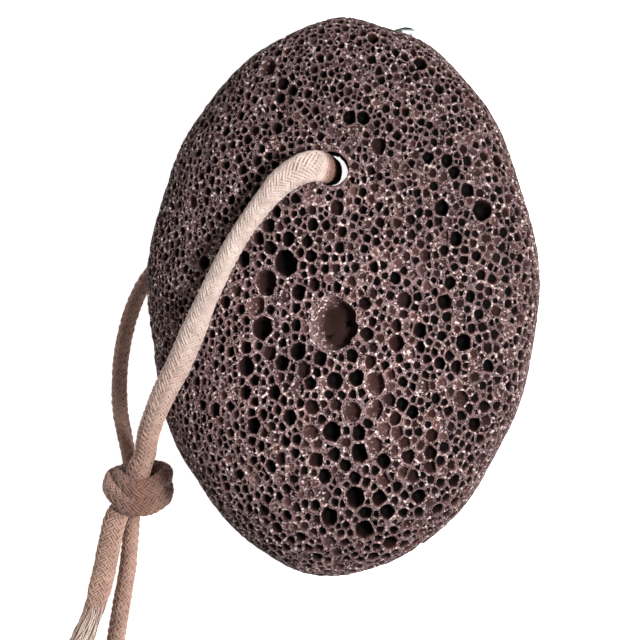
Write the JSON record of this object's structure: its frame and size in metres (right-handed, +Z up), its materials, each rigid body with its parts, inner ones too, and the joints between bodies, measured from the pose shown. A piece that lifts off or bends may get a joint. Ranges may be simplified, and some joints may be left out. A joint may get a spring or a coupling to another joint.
{
  "type": "pumice stone",
  "caption": "Oval lava pumice foot stone with a drilled hole and a braided cotton cord, looped through it and knotted beside the stone",
  "frame": {"origin": "on the surface that the stone lies on, under the middle of the box round the stone without its cord", "axes": "+Y along the stone towards its drilled end, +X across it, +Z up out of its broad working face"},
  "size_m": [0.0882, 0.1265, 0.0341],
  "materials": {
    "lava_pumice": "raw vesicular lava, open gas pits with paler rims",
    "braided_cotton": "undyed braided cotton cord, soft and matte"
  },
  "bodies": {
    "root": {"pumice_stone": "lava_pumice", "cord_loop": "braided_cotton", "cord_knot": "braided_cotton", "cord_tail_left": "braided_cotton", "cord_tail_right": "braided_cotton"}
  },
  "joints": []
}
